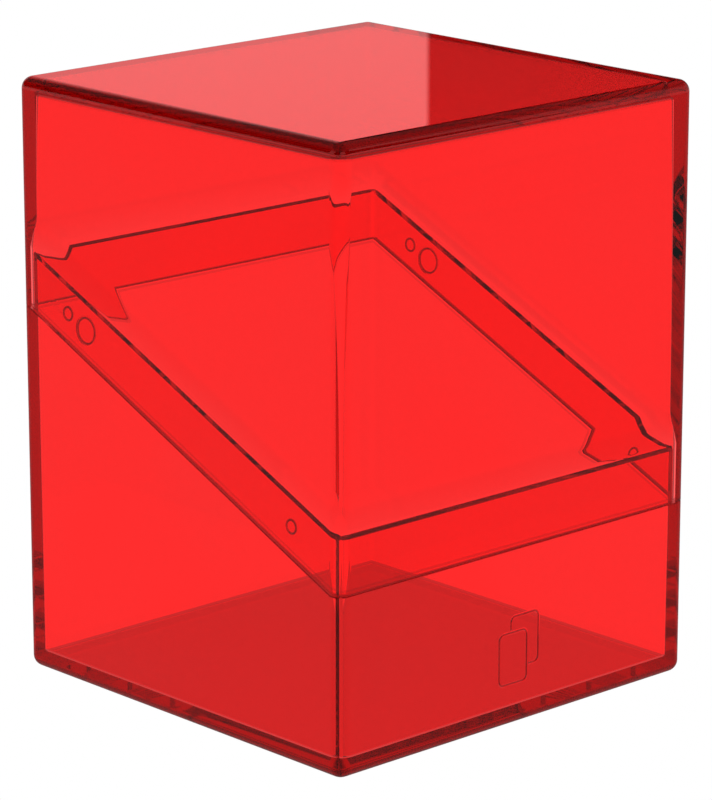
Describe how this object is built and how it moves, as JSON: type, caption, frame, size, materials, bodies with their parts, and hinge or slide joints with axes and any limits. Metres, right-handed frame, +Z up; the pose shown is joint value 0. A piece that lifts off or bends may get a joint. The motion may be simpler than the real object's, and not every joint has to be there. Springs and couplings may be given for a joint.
{
  "type": "card deck box",
  "caption": "Two-piece deck box in clear coloured plastic: a square base with a raised collar and a lift-off lid that meets it on a slanted seam.",
  "frame": {"origin": "centre of the underside of the closed box", "axes": "+Z up; -Y towards the front, where the slanted seam is lowest; +X to the right seen from the front"},
  "size_m": [0.0786, 0.0774, 0.101],
  "materials": {
    "clear_red": "clear, polished"
  },
  "bodies": {
    "base": {"base": "clear_red"},
    "lid": {"lid": "clear_red"}
  },
  "joints": [
    {"name": "lid_lift", "type": "slide", "parent": "base", "child": "lid", "axis": [0, 0, 1], "range_m": [0, 0.07]}
  ]
}
